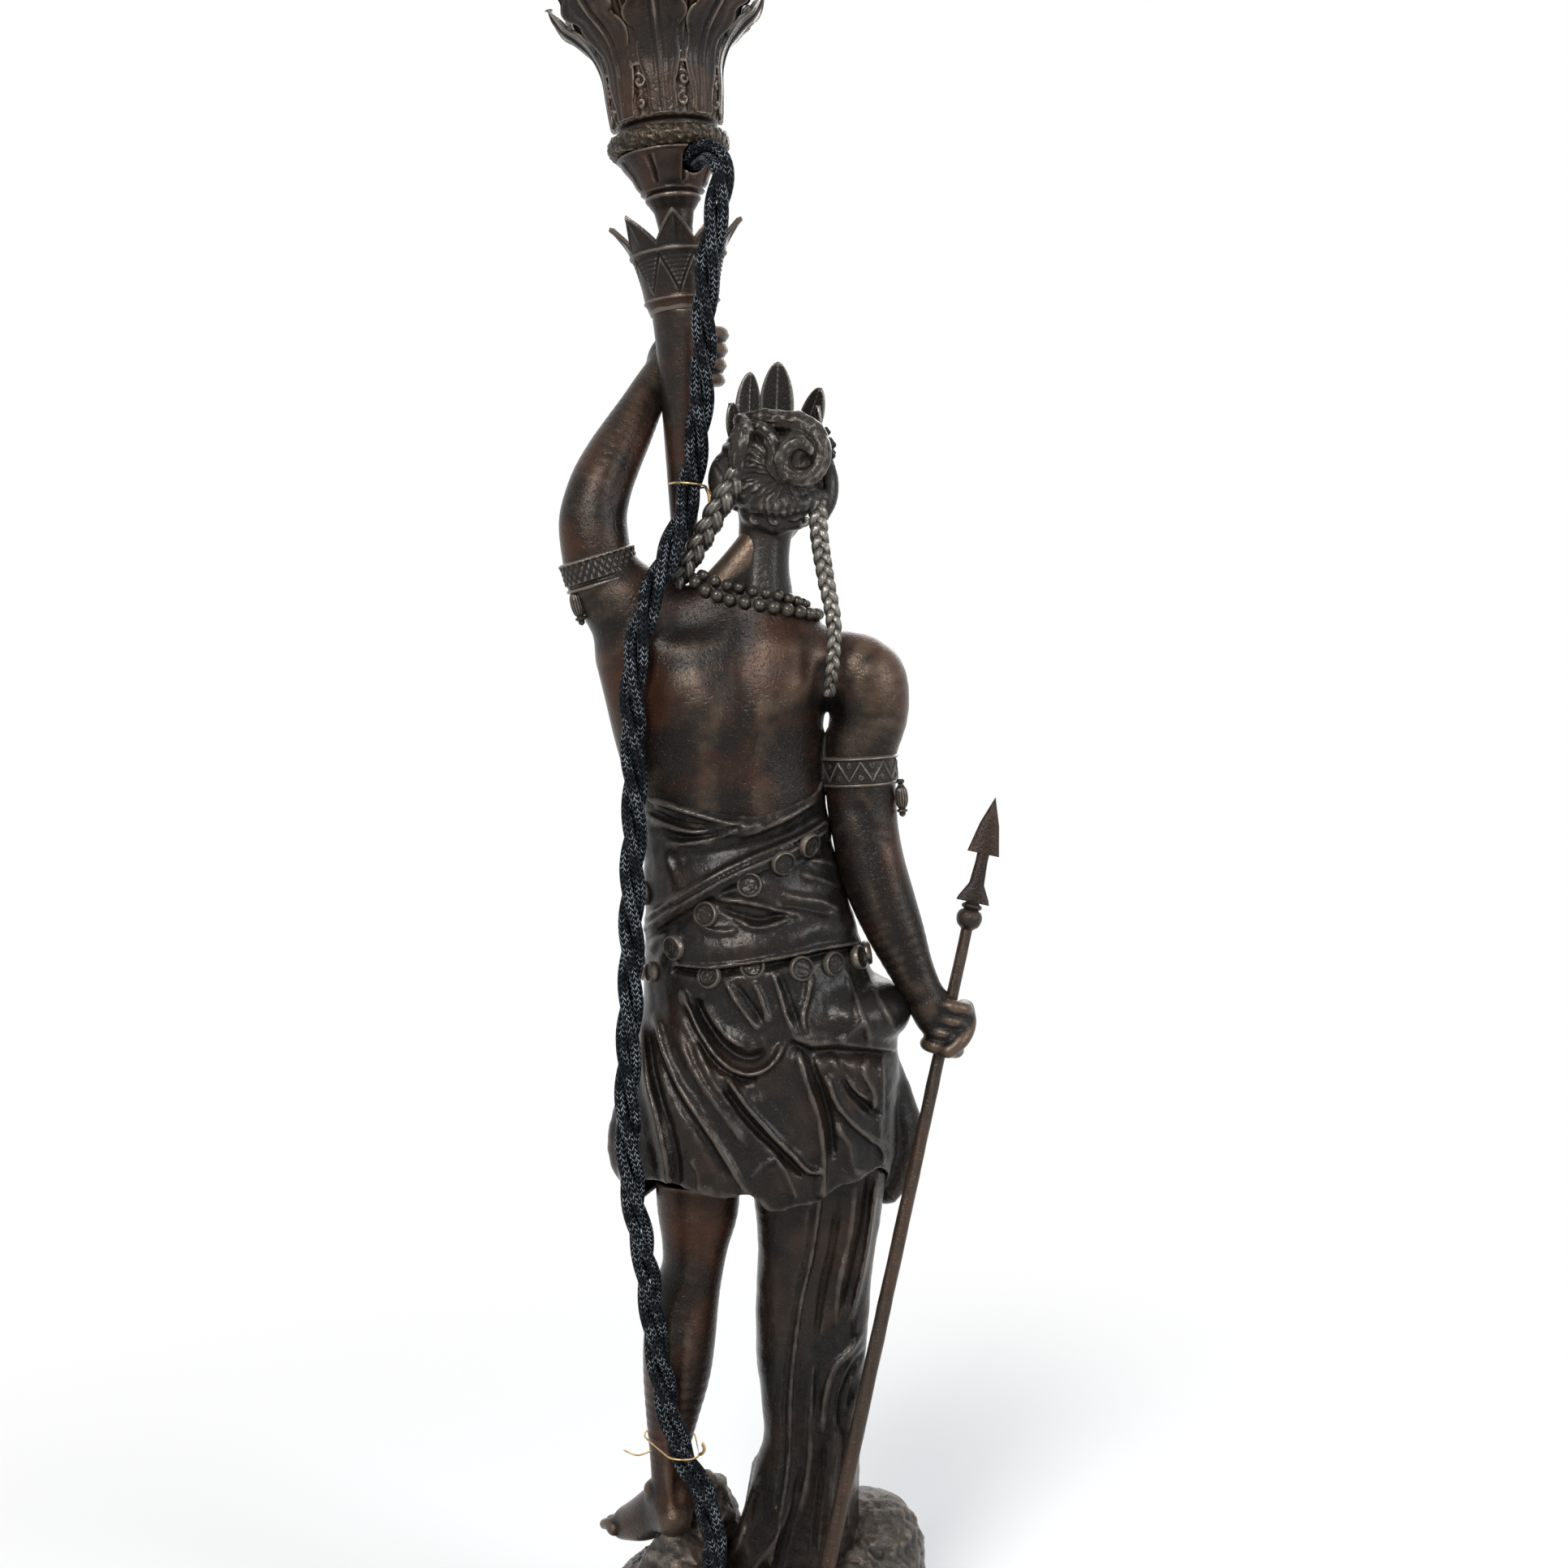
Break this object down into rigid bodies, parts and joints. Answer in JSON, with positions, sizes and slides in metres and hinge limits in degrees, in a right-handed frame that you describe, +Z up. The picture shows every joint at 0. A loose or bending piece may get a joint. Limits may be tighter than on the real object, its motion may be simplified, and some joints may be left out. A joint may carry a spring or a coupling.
{
  "type": "table lamp",
  "caption": "Figural table lamp: a standing robed figure in patinated cast metal holds up a torch with a leafy cup and lampholder, on rocky ground and a round socle, with twisted flex",
  "frame": {"origin": "middle of the round base's underside, on the table", "axes": "+Z up, +Y the way the figure faces, +X to the right when the figure's back is seen"},
  "size_m": [0.1602, 0.2941, 0.6077],
  "materials": {
    "felt": "matte",
    "socle_wood": "satin",
    "steel": "satin",
    "bronze_skin": "satin",
    "bronze_cloth": "satin",
    "bronze_rock": "satin",
    "bronze_hair": "satin",
    "bronze_trim": "satin",
    "bronze_torch": "satin",
    "rubbed_gilt": "satin",
    "brass": "satin",
    "wire": "polished",
    "card": "matte",
    "ceramic": "gloss",
    "braided_flex": "matte",
    "plug_plastic": "gloss",
    "tie_band": "matte"
  },
  "bodies": {
    "lamp": {"felt_pad": "felt", "socle": "socle_wood", "base_screws": "steel", "screw_washers": "steel", "torch_rod": "steel", "rod_washer": "steel", "rod_nut": "steel", "bust": "bronze_skin", "head": "bronze_skin", "left_leg": "bronze_skin", "right_forearm": "bronze_skin", "left_forearm": "bronze_skin", "dress": "bronze_cloth", "drape_leg": "bronze_cloth", "ground": "bronze_rock", "diadem": "bronze_hair", "left_braid": "bronze_hair", "right_braid": "bronze_hair", "necklace": "bronze_trim", "right_armband": "bronze_trim", "left_armband": "bronze_trim", "armband_tassels": "bronze_trim", "arrow_shaft": "bronze_trim", "arrow_head": "bronze_trim", "torch_stem": "bronze_torch", "torch_crown": "bronze_torch", "urn_neck": "bronze_torch", "urn_bowl": "bronze_torch", "cup": "bronze_torch", "rope_ring": "rubbed_gilt", "nipple": "brass", "nipple_nuts": "brass", "nipple_spacer": "brass", "holder_cap": "brass", "holder_barrel": "brass", "screw_shell": "brass", "centre_contact": "brass", "shade_ring": "brass", "plug_pins": "brass", "upper_tie": "wire", "lower_tie": "wire", "holder_liner": "card", "holder_insulator": "ceramic", "flex": "braided_flex", "flex_tail": "braided_flex", "flex_coil": "braided_flex", "inner_lead": "braided_flex", "plug_body": "plug_plastic", "coil_tie": "tie_band"},
    "switch": {"switch_spindle": "brass", "switch_key": "brass"}
  },
  "joints": [
    {"name": "switch_turn", "type": "hinge", "parent": "lamp", "child": "switch", "pos_m": [-0.03509, 0.01375, 0.57654], "axis": [0.9964, 0, 0.0851], "range_deg": [0, 90]}
  ]
}
